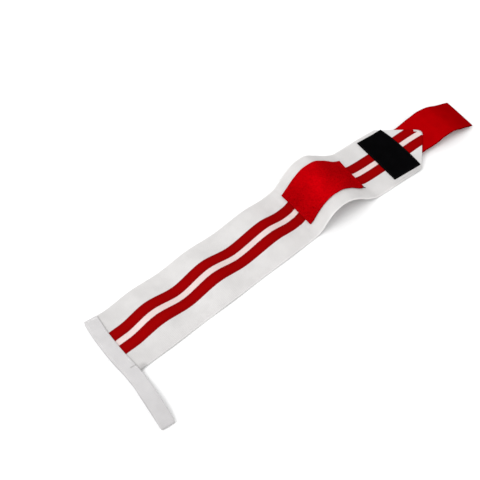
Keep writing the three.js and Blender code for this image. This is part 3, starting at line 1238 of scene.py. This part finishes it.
tab_long, tab_half = flat_size(TAB)
hook_length, hook_width = np.meshgrid(
    np.arange(HOOK_MARGIN, tab_long - HOOK_MARGIN, HOOK_PITCH),
    np.arange(-tab_half + HOOK_MARGIN, tab_half - HOOK_MARGIN, HOOK_PITCH),
    indexing="ij",
)
hook_width = hook_width + np.where(np.arange(len(hook_length)) % 2, HOOK_PITCH / 2, 0)[:, None]
hook_along, hook_across = laid_out(TAB, hook_length.ravel(), hook_width.ravel())
hook_roots = on_wrap(hook_along, hook_across, TAB_TOP - TAB_THICK)
hook_ahead = on_wrap(hook_along + PROBE, hook_across, 0) - on_wrap(hook_along - PROBE, hook_across, 0)
free = hook_roots[:, 2] > HOOK_ROOM * MM

hook_field = bpy.data.meshes.new("hook_field")
hook_field.from_pydata(hook_roots[free].tolist(), [], [])
keep_vectors(hook_field, "up", UNDER * wrap_up(hook_along, hook_across)[free])
keep_vectors(hook_field, "ahead", hook_ahead[free])
hooks = grown("hooks", hook_field, hook_tree, finish=hook_plastic)

# %% Pile tree
PILE_SEED = 11
PILE_TURN_SEED = 1
PILE_SIZE_SEED = 2
PILE_SIZES = (0.7, 1.2)

pile_inputs = {"Density": 1.0e6, "Height": 0.0006, "Thread radius": 0.0001}
pile_tree, pile_in, pile_out = growth_tree("pile_loops", pile_inputs)
scatter_terms = {"Mesh": pile_in["Geometry"], "Density": pile_in["Density"], "Seed": PILE_SEED}
scatter = add_node(
    pile_tree, "GeometryNodeDistributePointsOnFaces", scatter_terms, distribute_method="RANDOM"
)


def seeded(tree, low, high, seed):
    """A random number for every point, the same in every run. Its float sockets are 2 and 3, its seed 8."""
    terms = {2: low, 3: high, 8: seed}
    return add_node(tree, "FunctionNodeRandomValue", terms, data_type="FLOAT").outputs[1]


pile_share = shares_of(pile_in["Height"])
# both feet of a loop, just below the cloth, and its leaning bow, in shares of its height
pile_loop = bent_thread(
    pile_tree,
    (pile_share(-0.7), 0.0, pile_share(-0.3)),
    (pile_share(0.6), 0.0, pile_share(2.3)),
    (pile_share(0.8), 0.0, pile_share(-0.3)),
    pile_in["Thread radius"],
    steps=4,
    sides=3,
)
pile_yaw = seeded(pile_tree, 0.0, 2 * math.pi, PILE_TURN_SEED)
pile_turn = turned_more(scatter.outputs["Rotation"], pile_yaw)
pile_size = seeded(pile_tree, *PILE_SIZES, PILE_SIZE_SEED)
set_on(pile_in, pile_out, scatter.outputs["Points"], pile_loop, pile_turn, pile_size)
tell(pile_tree)

# %% Pile
PILE_MARGIN = 1.0
PILE_STEP = 1.5

patch_long, patch_half = flat_size(PATCH)
pile_rows, pile_columns = round(patch_long / PILE_STEP), round(2 * patch_half / PILE_STEP)
pile_length, pile_width = np.meshgrid(
    np.linspace(PILE_MARGIN, patch_long - PILE_MARGIN, pile_rows),
    np.linspace(PILE_MARGIN - patch_half, patch_half - PILE_MARGIN, pile_columns),
    indexing="ij",
)
pile_points = lay_patch(pile_length, pile_width, np.ones_like(pile_length)).reshape(-1, 3)
pile_first = (np.arange(pile_rows - 1)[:, None] * pile_columns + np.arange(pile_columns - 1)).ravel()
pile_next = pile_first + pile_columns
pile_faces = np.stack([pile_first, pile_next, pile_next + 1, pile_first + 1], -1)
pile_field = bpy.data.meshes.new("pile_field")
pile_field.from_pydata(pile_points.tolist(), [], pile_faces.tolist())
keep_vectors(pile_field, "spot", np.stack([pile_length, pile_width, 0 * pile_width], -1) * MM)
pile = grown("pile", pile_field, pile_tree, finish=pile_finish)

# %% [markdown]
#
# Each cloth takes the place of a solid, which is hidden, and its seams, hooks or pile go where it goes.
# The table also lists each cloth's flat size, how it is held and what it rests on. Nothing on the wrap
# moves on a joint, so all of them ride the root body.

ROOT_BODY = "root"
BAND_FLAT = (0.0735, 0.44)
TAPE_FLAT = (0.014, 0.267)
# cloth, solid that it replaces, slot, flat size, how it is held, what it rests on, details on it
CLOTHS = [
    (band, "wrap_band", "band", BAND_FLAT, "laid", "table", [under_seams, tip_seam]),
    (loop, "thumb_loop", "tape", TAPE_FLAT, "folded", "wrap_band", [hem_seams, tack_seams, loop_tack]),
    (patch, "closure_patch", "plush", flat_cut(PATCH), "laid", "wrap_band", [patch_seam, thread_tail, pile]),
    (label, "end_label", "label", flat_cut(LABEL), "laid", "wrap_band", [label_seam]),
    (tab, "hook_tab", "hook_tape", flat_cut(TAB), "laid", "wrap_band", [tab_seam, hooks]),
]
for cloth_piece, solid, cloth_slot, flat, held, support, details in CLOTHS:
    for each in [cloth_piece, *details]:
        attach(each, ROOT_BODY)
    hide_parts(solid)
    print(cloth_piece.name, "stands for", solid, "with", len(details), "details")
